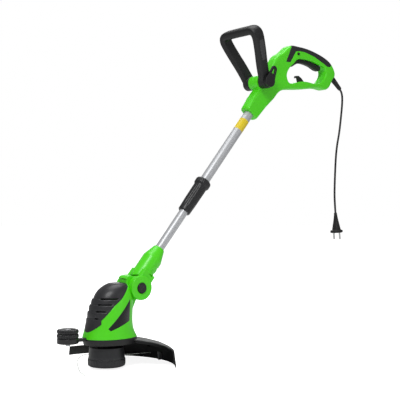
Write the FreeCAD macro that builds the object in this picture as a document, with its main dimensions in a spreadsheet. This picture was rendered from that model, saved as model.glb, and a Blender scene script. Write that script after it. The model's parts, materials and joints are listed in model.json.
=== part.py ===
import FreeCAD, Part
import math
import os
import Sketcher

# String trimmer with a telescopic shaft, held at the rear grip as in use.
# Row frame: origin at the centre of the rear grip, +X from the cutting head
# towards the user, +Y to the user's right, +Z up. Millimetres and degrees.

Vector = FreeCAD.Vector
Placement = FreeCAD.Placement
Rotation = FreeCAD.Rotation

SIZES = {
    # shaft
    "shaft_lean": 40, "grip_along": 277, "grip_front": -61,
    "upper_tube_exposed": 234, "sleeve_length": 100, "lower_tube_exposed": 117, "socket_length": 116,
    "upper_tube_radius": 12.5, "lower_tube_radius": 11, "tube_wall": 1.2,
    "upper_tube_in_housing": 96, "upper_tube_in_sleeve": 76, "lower_tube_in_socket": 62,
    "lower_tube_hidden": 250, "fit_gap": 0.1, "move_gap": 0.3,
    "sleeve_radius": 17.5, "sleeve_collar_radius": 20.5, "sleeve_lip_radius": 16,
    "collet_length": 18, "collet_radius": 14.6,
    # rear handle
    "handle_half_width": 16.5, "handle_edge": 7, "shell_wall": 2.6, "grip_skin": 1.6,
    "barrel_along": 86, "barrel_front": 30, "barrel_radius": 19, "barrel_half_width": 17.5,
    "nose_radius": 19, "boss_radius": 4, "screw_radius": 1.5, "screw_head_radius": 3,
    "trigger_half_width": 7, "trigger_travel": 4, "relief_length": 50, "cord_radius": 2.8,
    # front handle
    "bow_tilt": -27, "bow_height": 141, "bow_pivot_half": 30, "bow_top_half": 63,
    "bow_leg": 21, "bow_depth": 34, "bow_bar": 22, "bow_bolt_radius": 4,
    "bow_washer": 3.5, "bow_hub_radius": 18, "knob_radius": 16, "knob_thickness": 10,
    "knob_lever": 35, "knob_lever_thickness": 5, "knob_lean": 24,
    # cutting head
    "knuckle_offset": 76, "knuckle_height": 178, "knuckle_radius": 28.5, "knuckle_half_width": 35,
    "lug_half_width": 17, "tilt_down": 24, "tilt_up": 15, "tilt_pin_radius": 5, "button_radius": 12.5,
    "base_centre": 9, "base_half_length": 68, "base_half_width": 52, "base_height": 66,
    "collar_height": 15, "housing_wall": 2.5, "housing_top": 190, "badge_depth": 1.0,
    "spool_radius": 44, "spool_height": 45, "cap_height": 18, "spool_wall": 2.2,
    "bump_radius": 16, "bump_drop": 5, "bump_travel": 6,
    "line_radius": 0.8, "line_height": 20,
    "motor_shaft_radius": 3, "stator_radius": 28, "stator_bore": 18, "stator_bottom": 88,
    "stator_length": 38, "air_gap": 0.8, "bearing_radius": 9.5, "bearing_width": 6, "fan_radius": 36,
    # guard and guide wheel
    "guard_radius": 157.5, "guard_thick": 2.5, "guard_start": -39, "guard_plate_turn": 109,
    "guard_arm_turn": 23, "guard_top": 33, "guard_bottom": -4.5, "guard_flare": 5, "arm_top": 25, "arm_bottom": 3,
    "wheel_forward": 103, "wheel_radius": 25, "wheel_width": 19, "wheel_bottom": 74,
    "carrier_radius": 24.5, "carrier_height": 13, "axle_radius": 4,
    # plug
    "plug_length": 57, "plug_flange": 17.75, "pin_radius": 2.4, "pin_length": 19, "pin_spacing": 19,
    "pin_turn": 79,
}

# Side outlines in the handle frame: along the shaft from the nose, and to its front.
HOUSING_OUTLINE = [
    (-3, 23), (14, 25), (34, 25), (75, 24), (120, 26), (158, 32), (186, 33), (204, 26), (228, 21),
    (244, 14), (256, 0), (271, -20), (285, -42), (298, -67), (310, -96), (316, -124), (312, -146),
    (301, -160), (284, -161), (264, -164), (247, -160), (233, -142), (202, -110), (163, -73),
    (136, -47), (116, -35), (88, -32), (52, -29), (20, -26), (-3, -23),
]
HAND_HOLE = [
    (207, -22), (184, -19), (165, -26), (158, -41), (181, -65), (213, -97), (245, -131), (264, -132),
    (280, -127), (286, -118), (281, -100), (270, -76), (254, -51), (238, -32), (224, -24),
]
SOFT_REGION = [
    (192, 2), (240, 14), (300, 30), (360, -60), (360, -128), (304, -128), (297, -120), (292, -101),
    (281, -66), (264, -32), (252, -16), (241, -6), (203, -10),
]
TRIGGER_OUTLINE = [
    (207, -29), (218, -33), (232, -41), (246, -58), (258, -81), (268, -106), (276, -112), (284, -105),
    (280, -84), (268, -63), (252, -44), (238, -32), (226, -26), (214, -25),
]
TRIGGER_PIVOT = (279, -98)
LOCK_OFF_POINT = (242, -17)
RELIEF_ALONG = 298
SCREW_POINTS = [(140, 14), (143, -38), (214, 4), (297, -84), (303, -140), (230, -130)]
CORD_HOOK = [(191, -78), (197, -69), (200, -64), (193, -59), (200, -57), (207, -64), (209, -76), (208, -102)]

# The free lead from the strain relief down to the plug, in the row frame (x, z).
CORD_ROUTE = [
    (121.5, -74.6), (131.5, -83), (136.5, -97), (136.5, -117), (133.5, -142), (129, -173),
    (123.5, -206), (114.5, -240), (109.5, -275), (107, -312), (105, -349), (104, -384),
    (105.8, -411), (108, -434),
]
CORD_BEND_SHARE = 0.45
PLUG_LEAN = 175.2

# The two free ends of the cutting line, in the head frame (x, y, z).
LINE_ENDS = [
    [(32.8, -8.8, 23), (38.6, -10.36, 23), (44.9, -12.05, 23), (62, -15, 22.4), (92, -8, 20), (128, 3, 17)],
    [(-16.6, 29.7, 23), (-19.5, 34.9, 23), (-22.7, 40.6, 23), (-34, 49, 21), (-57, 33, 16), (-76, 4, 12),
     (-101, -49, 6.2), (-112, -89, 3.5)],
]

# Lofted sections of the motor housing: height, centre, half length, half width.
HOUSING_SECTIONS = [
    (66, 9, 68, 52), (78, 7, 63, 50), (96, 7, 58, 48), (120, 9, 56, 46), (145, 14, 53, 43),
    (165, 20, 48, 38), (180, 26, 39, 31), (191, 31, 22, 17),
]
COVER_REGION = [(46, 200), (42, 183), (18, 158), (-5, 141), (-34, 109), (-34, 101), (-74, 63), (-100, 58), (-100, 200)]
BADGE_REGION = [(42, 155), (-22, 91), (-17, 86), (37, 106)]
LOUVRES = [156, 143, 128, 112]
GUARD_PROFILE = [(57, 61), (84, 58), (112, 53.5), (134, 47), (150, 39)]

doc = FreeCAD.newDocument("string_trimmer")
sheet = doc.addObject("Spreadsheet::Sheet", "dims")
for row, (alias, size) in enumerate(SIZES.items(), start=1):
    sheet.set("A%d" % row, alias)
    sheet.set("B%d" % row, str(size))
    sheet.setAlias("B%d" % row, alias)
doc.recompute()

subparts = []


def val(alias):
    return float(sheet.get(alias))


def keep(obj, label, frame):
    obj.Label = label
    obj.Placement = frame
    subparts.append(obj)
    return obj


def frame_at(point, tilt=0.0):
    """A frame at a point, tilted about +Y."""
    return Placement(Vector(*point), Rotation(Vector(0, 1, 0), tilt))


# ---------------------------------------------------------------- frames

lean = val("shaft_lean")
shaft_turn = Rotation(Vector(0, 1, 0), lean)
shaft_axis = shaft_turn.multVec(Vector(0, 0, 1))
handle_turn = Rotation(Vector(0, 1, 0), lean - 90)
nose = handle_turn.multVec(Vector(-val("grip_along"), 0, -val("grip_front")))
handle_frame = Placement(nose, handle_turn)
socket_top = val("socket_length")
sleeve_bottom = socket_top + val("lower_tube_exposed")
sleeve_top = sleeve_bottom + val("sleeve_length")
shaft_span = sleeve_top + val("upper_tube_exposed")
knuckle = nose - shaft_axis * shaft_span
shaft_frame = Placement(knuckle, shaft_turn)
head_base = knuckle - Vector(val("knuckle_offset"), 0, val("knuckle_height"))
head_frame = Placement(head_base, Rotation())
bow_pivot = handle_frame.multVec(Vector(val("barrel_along"), 0, val("barrel_front")))
bow_frame = Placement(bow_pivot, Rotation(Vector(0, 1, 0), val("bow_tilt")))


# ---------------------------------------------------------------- feature helpers

def origin_plane(body, role):
    return [item for item in body.Origin.OriginFeatures if item.Role == role][0]


def sketch_polygon(body, name, points, role):
    """A closed sketch polygon on one of the body's origin planes; points are pairs of expressions."""
    sketch = body.newObject("Sketcher::SketchObject", name)
    sketch.AttachmentSupport = [(origin_plane(body, role), "")]
    sketch.MapMode = "FlatFace"
    count = len(points)
    start = [
        Vector(50 + 30 * math.cos(math.tau * i / count), 50 + 30 * math.sin(math.tau * i / count), 0)
        for i in range(count)
    ]
    for i in range(count):
        sketch.addGeometry(Part.LineSegment(start[i], start[(i + 1) % count]), False)
    for i in range(count):
        sketch.addConstraint(Sketcher.Constraint("Coincident", i, 2, (i + 1) % count, 1))
    for i, pair in enumerate(points):
        for kind, text, first in (("DistanceX", pair[0], start[i].x), ("DistanceY", pair[1], start[i].y)):
            index = sketch.addConstraint(Sketcher.Constraint(kind, -1, 1, i, 1, first))
            sketch.setExpression("Constraints[%d]" % index, dims_of(text))
    return sketch


def dims_of(text):
    """Turns the sheet's aliases inside a formula into references to the sheet."""
    out = []
    for word in str(text).replace("(", " ( ").replace(")", " ) ").split():
        out.append("dims." + word if word in SIZES else word)
    return " ".join(out)


def turned(label, points, frame, sweep="360"):
    """A body of revolution about its local Z; points are (radius, height) formulas."""
    body = doc.addObject("PartDesign::Body", label)
    sketch = sketch_polygon(body, label + "_profile", points, "XZ_Plane")
    turn = body.newObject("PartDesign::Revolution", label + "_turn")
    turn.Profile = sketch
    turn.ReferenceAxis = (sketch, ["V_Axis"])
    turn.setExpression("Angle", dims_of(sweep))
    body.Tip = turn
    doc.recompute()
    return keep(body, label, frame)


def ring(label, inner, outer, low, high, frame):
    return turned(label, [(inner, low), (outer, low), (outer, high), (inner, high)], frame)


def shaped(label, shape, frame):
    """A sub-part whose shape is made with Part's own functions."""
    feature = doc.addObject("Part::Feature", label)
    feature.Shape = shape
    return keep(feature, label, frame)


def prism(points, half_width, centre=0.0):
    """A polygon in local XZ, extruded both ways along Y."""
    corners = [Vector(x, centre - half_width, z) for x, z in points]
    face = Part.Face(Part.makePolygon(corners + corners[:1]))
    return face.extrude(Vector(0, 2 * half_width, 0))


def revolved(points):
    """A full turn of an (x, z) outline about local Z."""
    corners = [Vector(x, 0, z) for x, z in points]
    return Part.Face(Part.makePolygon(corners + corners[:1])).revolve(Vector(), Vector(0, 0, 1), 360)


def rod(radius, start, end):
    step = Vector(*end) - Vector(*start)
    return Part.makeCylinder(radius, step.Length, Vector(*start), step)


def cross_rod(radius, x, z, low, high):
    return Part.makeCylinder(radius, high - low, Vector(x, low, z), Vector(0, 1, 0))


def block(low, high):
    return Part.makeBox(high[0] - low[0], high[1] - low[1], high[2] - low[2], Vector(*low))


def fused(shapes):
    return shapes[0].fuse(shapes[1:])


def biggest(shape):
    return max(shape.Solids, key=lambda solid: solid.Volume)


def inset(points, distance):
    """The outline moved inwards by a distance, or outwards if it is negative."""
    count = len(points)
    area = sum(
        points[i][0] * points[(i + 1) % count][1] - points[(i + 1) % count][0] * points[i][1]
        for i in range(count)
    )
    side = distance if area > 0 else -distance
    moved = []
    for i, (x, z) in enumerate(points):
        before = points[i - 1]
        after = points[(i + 1) % count]
        length = math.hypot(after[0] - before[0], after[1] - before[1])
        moved.append((x - side * (after[1] - before[1]) / length, z + side * (after[0] - before[0]) / length))
    return moved


def chord_lengths(points):
    """The running distance round a closed outline, from nought back to its first point."""
    lengths = [0.0]
    for here, after in zip(points, points[1:] + points[:1]):
        lengths.append(lengths[-1] + math.hypot(after[0] - here[0], after[1] - here[1]))
    return lengths


def smooth_edges(points, y, parameters):
    """A closed smooth curve through the points, cut into edges at every third one or so."""
    pieces = len(points) // 3
    curve = Part.BSplineCurve()
    curve.interpolate(Points=[Vector(x, y, z) for x, z in points], PeriodicFlag=True, Parameters=parameters)
    cuts = [parameters[len(points) * k // pieces] for k in range(pieces + 1)]
    return [curve.toShape(start, end) for start, end in zip(cuts, cuts[1:])]


def moulded(points, half_width, edge, grow=1, steps=3):
    """A smooth outline extruded along Y with rounded edges; grow=-1 flares a hole instead."""
    parameters = chord_lengths(points)
    levels = []
    for k in range(steps + 1):
        angle = math.pi / 2 * k / steps
        levels.append((half_width - edge + edge * math.sin(angle), edge * (1 - math.cos(angle))))
    both = [(-y, d) for y, d in reversed(levels)] + levels
    loops = [smooth_edges(inset(points, grow * d), y, parameters) for y, d in both]
    faces = [Part.makeRuledSurface(*pair) for low, high in zip(loops, loops[1:]) for pair in zip(low, high)]
    faces += [Part.Face(Part.Wire(edges)) for edges in (loops[0], loops[-1])]
    shell = Part.Shell(faces)
    shell.sewShape()
    solid = Part.Solid(shell)
    if solid.Volume < 0:
        solid.reverse()
    return solid


def halves(shape, reach=400):
    """The left (-Y) and right (+Y) halves of a moulding."""
    left = shape.common(block((-reach, -reach, -reach), (reach, 0, reach)))
    right = shape.common(block((-reach, 0, -reach), (reach, reach, reach)))
    return left, right


# ---------------------------------------------------------------- rear handle

def handle_solids():
    """The handle's outer skin, the layer under its soft grip, and its cavity."""
    half = val("handle_half_width")
    edge = val("handle_edge")
    wall = val("shell_wall")
    skin = val("grip_skin")
    outer = moulded(HOUSING_OUTLINE, half, edge).common(nose_envelope())
    hole = moulded(HAND_HOLE, half + 0.5, 4, grow=-1)
    under = moulded(inset(HOUSING_OUTLINE, skin), half - skin, edge - skin)
    under_hole = moulded(inset(HAND_HOLE, -skin), half + 0.5, 3, grow=-1)
    cavity = moulded(inset(HOUSING_OUTLINE, skin + wall), half - skin - wall, edge - skin)
    cavity_hole = moulded(inset(HAND_HOLE, -skin - wall), half + 0.5, 2, grow=-1)
    return outer.cut(hole), under.cut(under_hole), cavity.cut(cavity_hole)


def nose_envelope():
    """The round bar that the slab-sided handle turns into at its nose."""
    profile = [(21, -10), (22, 0), (24.6, 5), (28, 50), (34, 90), (400, 130), (400, 420)]
    bar = revolved([(0, -10)] + profile + [(0, 420)])
    bar.rotate(Vector(), Vector(0, 1, 0), 90)
    return bar


def build_handle():
    outer, under, cavity = handle_solids()
    half = val("handle_half_width")
    inner_half = half - val("grip_skin") - val("shell_wall")
    tube = val("upper_tube_radius") + val("fit_gap")
    barrel = cross_rod(val("barrel_radius"), val("barrel_along"), val("barrel_front"),
                       -val("barrel_half_width"), val("barrel_half_width"))
    soft = outer.cut(under).common(prism(SOFT_REGION, half + 1))
    soft = soft.cut(cross_rod(3.4, *LOCK_OFF_POINT, -half - 1, half + 1))
    for x, z in SCREW_POINTS:
        soft = soft.cut(cross_rod(val("screw_head_radius") + 0.2, x, z, half - 2, half + 1))
        soft = soft.cut(cross_rod(val("screw_radius"), x, z, 0, half + 1))
    seats = outer.common(fused([block((0, -half, -60), (6, half, 60)), block((84, -half, -60), (90, half, 60))]))
    bosses = [cross_rod(val("boss_radius"), x, z, -inner_half - 1, inner_half + 1) for x, z in SCREW_POINTS]
    shell = fused([outer.cut(cavity), seats, barrel] + bosses)
    cuts = [
        soft,
        rod(tube, (-40, 0, 0), (val("upper_tube_in_housing"), 0, 0)),
        block((-60, -60, -60), (0, 60, 60)),
        cross_rod(val("bow_bolt_radius") + val("fit_gap"), val("barrel_along"), val("barrel_front"), -30, 30),
        cross_rod(3.4, *LOCK_OFF_POINT, -half - 1, half + 1),
        cross_rod(2.02, *TRIGGER_PIVOT, -inner_half, inner_half),
        rod(7.2, (RELIEF_ALONG, 0, -140), (RELIEF_ALONG, 0, -175)),
        rod(8.2, (RELIEF_ALONG, 0, -140), (RELIEF_ALONG, 0, -155.1)),
    ]
    for share in (0, 0.5, 1):
        pocket = moulded(inset(TRIGGER_OUTLINE, -0.8), val("trigger_half_width") + 0.6, 1)
        turn = share * val("trigger_travel")
        pocket.rotate(Vector(TRIGGER_PIVOT[0], 0, TRIGGER_PIVOT[1]), Vector(0, 1, 0), turn)
        cuts.append(pocket)
    for x, z in SCREW_POINTS:
        cuts.append(cross_rod(val("screw_radius"), x, z, -half + 8, half + 1))
        cuts.append(cross_rod(val("screw_head_radius") + 0.2, x, z, half - 2, half + 1))
    for cutter in cuts:
        shell = shell.cut(cutter)
    left, right = halves(shell)
    shaped("handle_housing_left", left, handle_frame)
    shaped("handle_housing_right", right, handle_frame)
    shaped("soft_grip", soft, handle_frame)
    shaped("cord_hook", biggest(prism(CORD_HOOK, 4).cut(outer)), handle_frame)


def screw(x, z, tip, head_low, head_high):
    shank = cross_rod(val("screw_radius") - 0.05, x, z, tip, head_low + 0.5)
    return shank.fuse(cross_rod(val("screw_head_radius"), x, z, head_low, head_high))


def build_handle_inside():
    half = val("handle_half_width")
    inner = half - val("grip_skin") - val("shell_wall")
    screws = [screw(x, z, -half + 9, half - 2, half - 0.6) for x, z in SCREW_POINTS]
    shaped("handle_screws", Part.makeCompound(screws), handle_frame)
    trigger = moulded(TRIGGER_OUTLINE, val("trigger_half_width"), 2, steps=2)
    trigger = trigger.cut(cross_rod(2.05, *TRIGGER_PIVOT, -20, 20))
    shaped("trigger", trigger, handle_frame)
    shaped("trigger_pin", cross_rod(2.0, *TRIGGER_PIVOT, -inner + 0.1, inner - 0.1), handle_frame)
    spring_frame = handle_frame.multiply(frame_at((262.9, 0, -53.6), 59))
    ring("trigger_spring", "2", "3.2", "0", "6.6", spring_frame)
    button = cross_rod(3, *LOCK_OFF_POINT, -half - 2.5, half + 2.5)
    button = button.fuse(cross_rod(4, *LOCK_OFF_POINT, -9, 9))
    shaped("lock_off_button", button, handle_frame)
    switch_frame = handle_frame.multiply(frame_at((273, 0, -49), 59))
    case = block((-14, -9, -4), (14, 9, 4.5)).fuse(block((-14, -inner + 0.1, 0), (-8, inner - 0.1, 4)))
    shaped("switch_body", case, switch_frame)
    shaped("terminal_block", block((168, inner - 14, -2), (196, inner - 0.1, 10)), handle_frame)
    relief_frame = handle_frame.multiply(frame_at((RELIEF_ALONG, 0, -152), 180))
    turned("strain_relief", [
        ("cord_radius + 0.1", "0"), ("8", "0"), ("8", "3"), ("6.9", "3"), ("6.9", "9"), ("7.6", "9"),
        ("7.2", "14"), ("5.4", "relief_length + 7"), ("cord_radius + 0.1", "relief_length + 7"),
    ], relief_frame)


# ---------------------------------------------------------------- mains lead

def build_cord():
    points = [Vector(x, 0, z) for x, z in CORD_ROUTE]
    edges = []
    last = points[0]
    for before, corner, after in zip(points, points[1:], points[2:]):
        into = (corner - before).normalize()
        away = (after - corner).normalize()
        turn = into.getAngle(away)
        run = min(corner.distanceToPoint(before), corner.distanceToPoint(after))
        radius = CORD_BEND_SHARE * run / math.tan(turn / 2)
        print("lead bend radius %.0f mm" % radius)
        reach = CORD_BEND_SHARE * run
        start = corner - into * reach
        end = corner + away * reach
        towards = (away - into).normalize()
        middle = corner + towards * (reach / math.sin(turn / 2) * (1 / math.cos(turn / 2) - 1)
                                     / math.tan(turn / 2) * math.sin(turn / 2))
        edges.append(Part.LineSegment(last, start).toShape())
        edges.append(Part.Arc(start, middle, end).toShape())
        last = end
    edges.append(Part.LineSegment(last, points[-1]).toShape())
    path = Part.Wire(edges)
    heading = (points[1] - points[0]).normalize()
    section = Part.Wire(Part.Circle(points[0], heading, val("cord_radius")).toShape())
    tube = path.makePipeShell([section], True, True)
    expected = math.pi * val("cord_radius") ** 2 * path.Length
    print("lead length %.1f mm, volume %.0f, section times length %.0f" % (path.Length, tube.Volume, expected))
    shaped("mains_cord", tube, Placement())


def build_plug():
    tail = CORD_ROUTE[-1]
    plug_frame = frame_at((tail[0], 0, tail[1]), PLUG_LEAN)
    turned("plug_body", [
        ("0", "0"), ("4.4", "0"), ("5.6", "12"), ("8", "24"), ("10.5", "32"), ("11.5", "44"),
        ("12.5", "plug_length - 8"), ("plug_flange", "plug_length - 6.5"), ("plug_flange", "plug_length"),
        ("0", "plug_length"),
    ], plug_frame)
    angle = math.radians(val("pin_turn"))
    side = Vector(math.cos(angle), math.sin(angle), 0) * (val("pin_spacing") / 2)
    pins = []
    for place in (side, side * -1):
        start = place + Vector(0, 0, val("plug_length"))
        pins.append(Part.makeCylinder(val("pin_radius"), val("pin_length"), start))
    shaped("plug_pins", Part.makeCompound(pins), plug_frame)


# ---------------------------------------------------------------- front handle

def build_bow():
    """The front handle: a tapered loop with round hubs, in the bow frame."""
    height = val("bow_height")
    low = val("bow_pivot_half")
    top = val("bow_top_half")
    leg = val("bow_leg") / 2
    bar = val("bow_bar") / 2
    depth = val("bow_depth") / 2
    outer = mirrored([
        (0, height + bar), (top - 20, height + bar), (top + leg - 6, height + bar - 4), (top + leg + 1, height - 6),
        (low + leg + 0.62 * (top - low), 0.6 * height), (low + leg + 2, 0.2 * height), (low + leg, -5),
        (low, -14),
    ])
    gap = mirrored([
        (0, height - bar), (top - leg - 16, height - bar), (top - leg - 9, height - bar - 3),
        (top - leg - 5, height - bar - 10), (low - leg + 0.6 * (top - low), 0.6 * height),
        (low - leg + 2, 0.2 * height), (low - leg, -5), (low - leg, -40),
    ])
    loop = moulded(outer, depth, 8).cut(prism(gap, depth + 1))
    loop.rotate(Vector(), Vector(0, 0, 1), 90)
    inner = low - leg
    hubs = [
        cross_rod(val("bow_hub_radius"), 0, 0, side * low - leg, side * low + leg) for side in (-1, 1)
    ]
    loop = fused([loop] + hubs)
    loop = loop.cut(cross_rod(val("bow_bolt_radius") + 0.1, 0, 0, -60, 60))
    loop = loop.cut(cross_rod(val("bow_hub_radius") + 3, 0, 0, -inner, inner))
    clear = val("bow_hub_radius") + 1
    loop = loop.cut(block((-20, -90, -40), (20, -low - leg, clear)))
    loop = loop.cut(block((-20, low + leg, -40), (20, 90, clear)))
    shaped("front_handle", loop, bow_frame)


def mirrored(half_outline):
    """A closed outline from its right-hand half, mirrored in the middle plane."""
    return half_outline + [(-x, z) for x, z in reversed(half_outline) if x > 0]


def build_bow_fittings():
    half = val("barrel_half_width")
    low = val("bow_pivot_half")
    leg = val("bow_leg") / 2
    gap = val("move_gap")
    washers = [
        cross_rod(15, 0, 0, side * (half + gap) if side > 0 else -(low - leg) + gap,
                  low - leg - gap if side > 0 else -half - gap)
        for side in (-1, 1)
    ]
    bore = cross_rod(val("bow_bolt_radius") + val("fit_gap"), 0, 0, -60, 60)
    shaped("bow_washers", Part.makeCompound([washer.cut(bore) for washer in washers]), bow_frame)
    bolt = cross_rod(val("bow_bolt_radius"), 0, 0, -low - leg - val("knob_thickness") + 4.5, low + leg + 5)
    bolt = bolt.fuse(cross_rod(8, 0, 0, low + leg + gap, low + leg + 5))
    shaped("bow_bolt", bolt, bow_frame)
    knob_frame = Placement(bow_pivot, Rotation(Vector(0, 1, 0), val("knob_lean")))
    start = -low - leg - gap - val("knob_thickness")
    end = -low - leg - gap
    radius = val("knob_radius")
    reach = val("knob_lever")
    hub = cross_rod(radius, 0, 0, start, end)
    lever = val("knob_lever_thickness")
    tip = cross_rod(9, 0, reach, start, start + lever)
    corners = [(-radius * 0.8, 8), (radius * 0.8, 8), (8.6, reach + 3), (-8.6, reach + 3)]
    web = prism(corners, lever / 2, start + lever / 2)
    slot = prism([(-4, 21), (4, 21), (3, reach), (-3, reach)], 12, start + 4.5)
    knob = fused([hub, tip, web]).cut(slot)
    knob = knob.cut(cross_rod(val("bow_bolt_radius") + 0.1, 0, 0, start + 4, end + 1))
    shaped("clamp_knob", knob, knob_frame)


# ---------------------------------------------------------------- shaft

def build_shaft():
    collet_low = sleeve_bottom + 6
    collet_high = collet_low + val("collet_length")
    tube_low = sleeve_top - val("upper_tube_in_sleeve")
    tube_high = shaft_span + val("upper_tube_in_housing") - 1
    ring("upper_tube", "upper_tube_radius - tube_wall", "upper_tube_radius", str(tube_low), str(tube_high), shaft_frame)
    ring("tube_label", "upper_tube_radius + 0.05", "upper_tube_radius + 0.35",
         str(shaft_span - 59), str(shaft_span - 24), shaft_frame)
    ring("lower_tube", "lower_tube_radius - tube_wall", "lower_tube_radius",
         str(socket_top - val("lower_tube_in_socket")), str(sleeve_bottom + val("lower_tube_hidden")), shaft_frame)
    ring("motor_lead", "0", "3.2", str(socket_top - 70), str(sleeve_bottom + val("lower_tube_hidden") + 4), shaft_frame)
    ring("clamp_collet", "lower_tube_radius + 0.05", "collet_radius", str(collet_low), str(collet_high - 0.5), shaft_frame)
    low = str(sleeve_bottom)
    top = str(sleeve_top)
    turned("lock_sleeve", [
        ("lower_tube_radius + move_gap", low), ("sleeve_lip_radius - 1.5", low), ("sleeve_lip_radius", low + " + 2"),
        ("sleeve_radius - 0.6", low + " + 30"), ("sleeve_radius", top + " - 18"),
        ("sleeve_collar_radius", top + " - 13"), ("sleeve_collar_radius", top + " - 2"),
        ("sleeve_collar_radius - 1.5", top), ("upper_tube_radius + fit_gap", top),
        ("upper_tube_radius + fit_gap", str(collet_high)), ("collet_radius + 0.1", str(collet_high)),
        ("collet_radius + 0.1", str(collet_low)), ("lower_tube_radius + move_gap", str(collet_low)),
    ], shaft_frame)


def build_socket():
    """The shaft's lower end: two ears about the head's lug, then a tapering tube socket."""
    ear = val("knuckle_radius")
    wide = val("knuckle_half_width")
    top = socket_top
    profile = [(0, 8), (22, 8), (24.2, 30), (24.2, 84), (14, top), (0, top)]
    arm = revolved(profile)
    ears = cross_rod(ear, 0, 0, -wide, wide)
    cheeks = prism([(-18, 0), (18, 0), (17, 44), (-17, 44)], wide - 6)
    body = fused([ears, cheeks, arm])
    hollow = [(0, 34), (19.5, 34), (20.5, 80), (0, 80)]
    inside = revolved(hollow)
    lug = val("lug_half_width") + val("move_gap")
    body = body.cut(cross_rod(ear + 1.5, 0, 0, -lug, lug))
    body = body.cut(inside.common(block((-30, -30, ear + 3), (30, 30, top))))
    seat = Part.makeCylinder(21, 8, Vector(0, 0, socket_top - val("lower_tube_in_socket") - 4))
    body = fused([body, seat])
    body = body.cut(Part.makeCylinder(val("lower_tube_radius") + 0.05, 80,
                                      Vector(0, 0, socket_top - val("lower_tube_in_socket"))))
    body = body.cut(Part.makeCylinder(4, 50, Vector(0, 0, 10)))
    for height in (38, 54, 70):
        groove = Part.makeTorus(27, 4.6, Vector(0, 0, height))
        body = body.cut(groove.common(block((0, -40, 40), (40, 40, 90))))
    body = body.cut(cross_rod(val("tilt_pin_radius") + 0.05, 0, 0, -wide - 1, wide + 1))
    body = body.cut(cross_rod(val("button_radius") + 0.2, 0, 0, -wide - 1, -wide + 9))
    for x, z in ((-13, 62), (13, 62)):
        body = body.cut(cross_rod(val("screw_radius"), x, z, -14, 40))
        body = body.cut(cross_rod(val("screw_head_radius") + 0.2, x, z, 15, 40))
    left, right = halves(body)
    shaped("socket_left", left, shaft_frame)
    shaped("socket_right", right, shaft_frame)
    screws = [screw(x, z, -12, 15.1, 17.5) for x, z in ((-13, 62), (13, 62))]
    shaped("socket_screws", Part.makeCompound(screws), shaft_frame)
    shaped("tilt_pin", cross_rod(val("tilt_pin_radius"), 0, 0, -wide + 14, wide - 0.5), shaft_frame)
    button = cross_rod(val("button_radius"), 0, 0, -wide - 2.5, -wide + 4)
    button = button.makeFillet(2, [edge for edge in button.Edges if edge.CenterOfMass.y < -wide - 2])
    shaped("tilt_button", button, shaft_frame)
    spring_frame = shaft_frame.multiply(Placement(Vector(0, -wide + 4.2, 0), Rotation(Vector(1, 0, 0), -90)))
    ring("tilt_spring", "6", "8", "0", "4.6", spring_frame)


# ---------------------------------------------------------------- cutting head

def ellipse_wire(height, centre, half_length, half_width):
    curve = Part.Ellipse(Vector(centre, 0, height), half_length, half_width)
    return Part.Wire(curve.toShape())


def housing_solid(shrink):
    """The lofted body of the motor housing, or its cavity when shrunk by the wall."""
    wires = []
    for height, centre, half_length, half_width in HOUSING_SECTIONS:
        level = height if height == val("base_height") else height - shrink
        wires.append(ellipse_wire(level, centre, half_length - shrink, half_width - shrink))
    return Part.makeLoft(wires, True, False)


def build_head():
    wall = val("housing_wall")
    outer = housing_solid(0)
    cavity = housing_solid(wall)
    floor_low = val("base_height")
    shell = outer.cut(cavity)
    floor = outer.common(block((-90, -90, floor_low), (120, 90, floor_low + 2)))
    floor = floor.cut(Part.makeCylinder(30, 10, Vector(0, 0, floor_low - 2)))
    for x, y in guard_screw_points():
        floor = floor.cut(Part.makeCylinder(1.75, 10, Vector(x, y, floor_low - 2)))
    reach = val("knuckle_offset")
    height = val("knuckle_height")
    lug_half = val("lug_half_width")
    radius = val("knuckle_radius") - 1
    lug = cross_rod(radius, reach, height, -lug_half, lug_half)
    neck = prism([(34, 184), (50, 203), (62, 201), (76, 178), (76, 158), (62, 128), (50, 112), (24, 150)], lug_half)
    lobe = cross_rod(13, 54, 194, -lug_half, lug_half)
    neck = fused([lug, neck, lobe]).cut(cavity)
    cover_cut = prism(COVER_REGION, 80)
    rotated_gap = cross_rod(val("tilt_pin_radius") + 0.05, reach, height, -40, 40)
    dish = cross_rod(val("knuckle_radius") + 3.3, reach, height, -45, 45).common(outer)
    green = fused([shell, floor, neck, dish]).cut(cover_cut).cut(rotated_gap)
    for side in (-1, 1):
        ends = sorted((side * lug_half, side * 60))
        green = green.cut(cross_rod(val("knuckle_radius") + 0.8, reach, height, *ends))
    for angle in (-val("tilt_down"), -val("tilt_down") / 2, 0, val("tilt_up")):
        green = green.cut(socket_room(angle))
    seats = [motor_seat(level) for level in (val("stator_bottom") + 4, val("stator_bottom") + 30)]
    green = fused([green] + [seat.common(outer).cut(cover_cut) for seat in seats])
    badge_region = prism(BADGE_REGION, 80)
    layer = outer.cut(housing_solid(val("badge_depth")))
    badge = layer.common(badge_region)
    green = green.cut(badge_region.common(layer))
    screws = head_screw_points()
    for x, z in screws:
        boss = cross_rod(4, x, z, -60, 60).common(outer)
        green = green.fuse(boss)
        green = green.cut(cross_rod(1.5, x, z, -12, 60))
        green = green.cut(cross_rod(3.2, x, z, 30, 60))
    left, right = halves(green)
    shaped("motor_housing_left", biggest(left), head_frame)
    shaped("motor_housing_right", biggest(right), head_frame)
    cover = shell.common(cover_cut)
    for level in LOUVRES:
        slot = prism([(-60, level), (22, level), (22, level + 2.6), (-60, level + 2.6)], 60)
        slot = slot.cut(block((-80, -16, level - 5), (80, 16, level + 8)))
        cover = cover.cut(slot.cut(prism(cover_margin(), 70)))
    shaped("motor_cover", biggest(cover), head_frame)
    shaped("side_badges", Part.makeCompound(badge.Solids), head_frame)


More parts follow.
